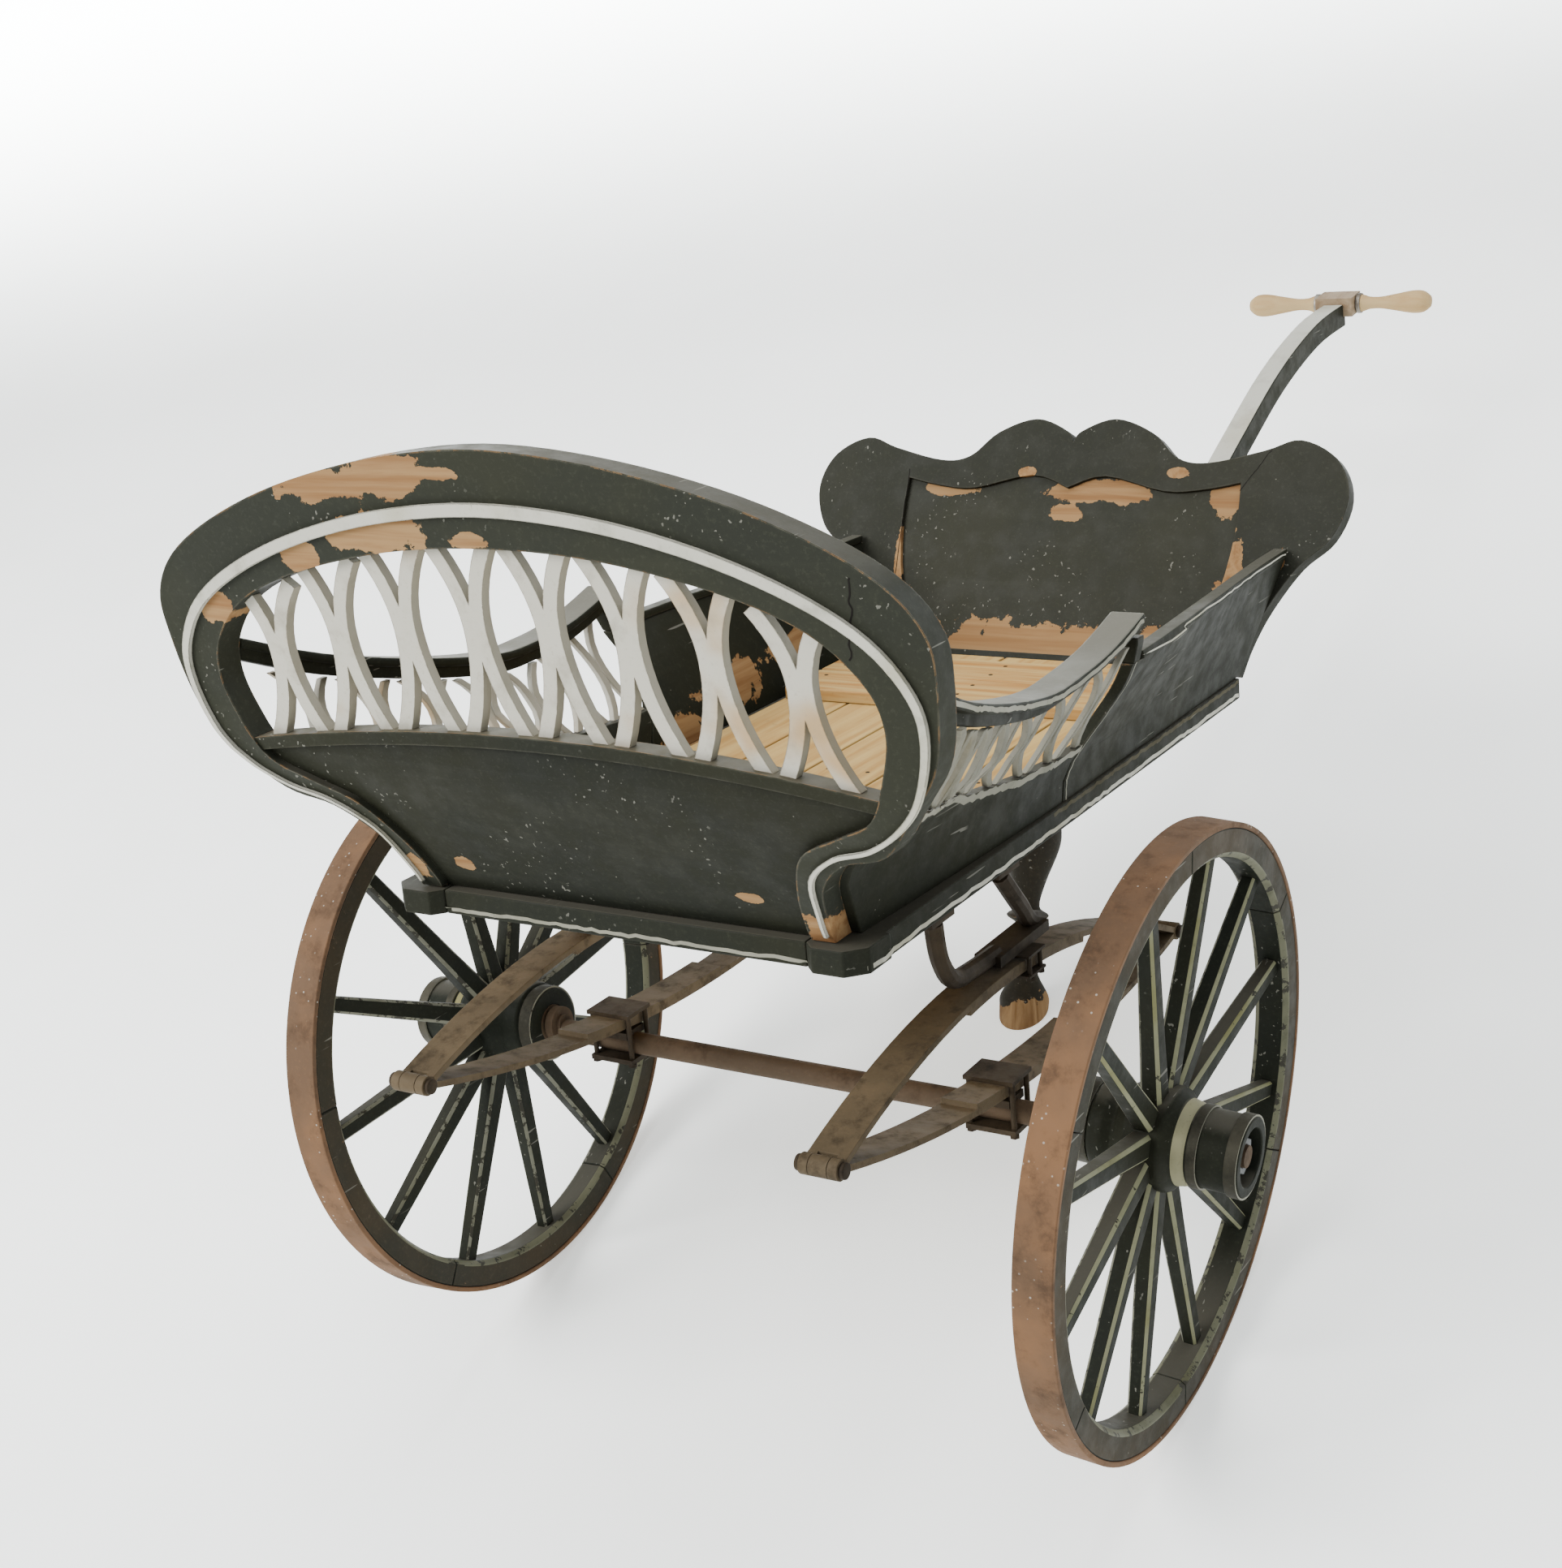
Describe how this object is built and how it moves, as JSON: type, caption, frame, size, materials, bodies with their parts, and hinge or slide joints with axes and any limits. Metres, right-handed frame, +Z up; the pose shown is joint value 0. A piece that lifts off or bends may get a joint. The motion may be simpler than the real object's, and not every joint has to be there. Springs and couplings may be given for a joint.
{
  "type": "doll stroller",
  "caption": "Wooden push carriage for dolls: open tub with a lattice front hoop and arm rails, on leaf springs and spoked wheels, with a long pole handle and a prop leg.",
  "frame": {"origin": "centre of the carriage's box on the floor it stands on, parked on its wheels and its prop leg", "axes": "+Y from the front hoop towards the handle, so the carriage is pushed along -Y; +Z up; +X towards its left side"},
  "size_m": [0.9002, 2.0009, 1.0299],
  "materials": {
    "pine_board": "bare aged pine",
    "pale_lattice": "worn pale grey-white paint",
    "cream_line": "old cream paint",
    "birch": "bare turned birch",
    "ferrule_metal": "dull metal",
    "old_iron": "dark rusty iron",
    "spring_steel": "dark rusty spring steel",
    "nut_steel": "dull steel",
    "tyre_iron": "rusty iron",
    "hub_iron": "worn cream and dark paint over iron",
    "pole_paint": "dark green-black paint with a cream face",
    "worn_paint": "dark green-black paint worn to the wood",
    "wheel_paint": "dark green-black paint with cream lines",
    "dark_paint": "dark green-black paint"
  },
  "bodies": {
    "carriage_body": {"right_side_sill": "dark_paint", "left_side_sill": "dark_paint", "front_sill": "dark_paint", "rear_sill": "dark_paint", "floor_boards": "pine_board", "floor_battens": "pine_board", "rear_planks": "pine_board", "front_panel": "worn_paint", "front_hoop": "worn_paint", "hoop_moulding": "cream_line", "front_rail": "dark_paint", "front_lattice": "pale_lattice", "right_low_panel": "dark_paint", "left_low_panel": "dark_paint", "right_rear_panel": "dark_paint", "left_rear_panel": "dark_paint", "right_top_rail": "dark_paint", "left_top_rail": "dark_paint", "right_arm_rail": "dark_paint", "left_arm_rail": "dark_paint", "right_arm_post": "dark_paint", "left_arm_post": "dark_paint", "right_arm_lattice": "pale_lattice", "left_arm_lattice": "pale_lattice", "back_frame": "worn_paint", "back_panel": "worn_paint", "handle_pole": "pole_paint", "handle_block": "birch", "right_grip": "birch", "left_grip": "birch", "grip_rings": "ferrule_metal", "prop_leg": "worn_paint", "right_body_irons": "old_iron", "left_body_irons": "old_iron", "right_top_clamp": "old_iron", "left_top_clamp": "old_iron", "right_upper_spring": "spring_steel", "left_upper_spring": "spring_steel"},
    "undercarriage": {"right_lower_spring": "spring_steel", "left_lower_spring": "spring_steel", "spring_bolts": "old_iron", "right_axle_clip": "old_iron", "left_axle_clip": "old_iron", "axle": "old_iron", "axle_nuts": "nut_steel"},
    "right_wheel": {"right_tyre": "tyre_iron", "right_felloes": "wheel_paint", "right_spokes": "wheel_paint", "right_hub": "wheel_paint", "right_hub_bands": "hub_iron", "right_hub_box": "old_iron"},
    "left_wheel": {"left_tyre": "tyre_iron", "left_felloes": "wheel_paint", "left_spokes": "wheel_paint", "left_hub": "wheel_paint", "left_hub_bands": "hub_iron", "left_hub_box": "old_iron"}
  },
  "joints": [
    {"name": "suspension", "type": "slide", "parent": "carriage_body", "child": "undercarriage", "axis": [0, 0.3305, 0.9438], "range_m": [0, 0.025], "stiffness_N_per_m": 12000, "springref_m": -0.012, "deforming": ["right_upper_spring", "left_upper_spring", "right_lower_spring", "left_lower_spring", "spring_bolts"]},
    {"name": "right_wheel_spin", "type": "hinge", "parent": "undercarriage", "child": "right_wheel", "pos_m": [-0.375, -0.7201, 0.28055], "axis": [-0.9979, -0.0213, -0.0609], "continuous": true},
    {"name": "left_wheel_spin", "type": "hinge", "parent": "undercarriage", "child": "left_wheel", "pos_m": [0.375, -0.7201, 0.28055], "axis": [-0.9979, 0.0213, 0.0609], "continuous": true}
  ]
}
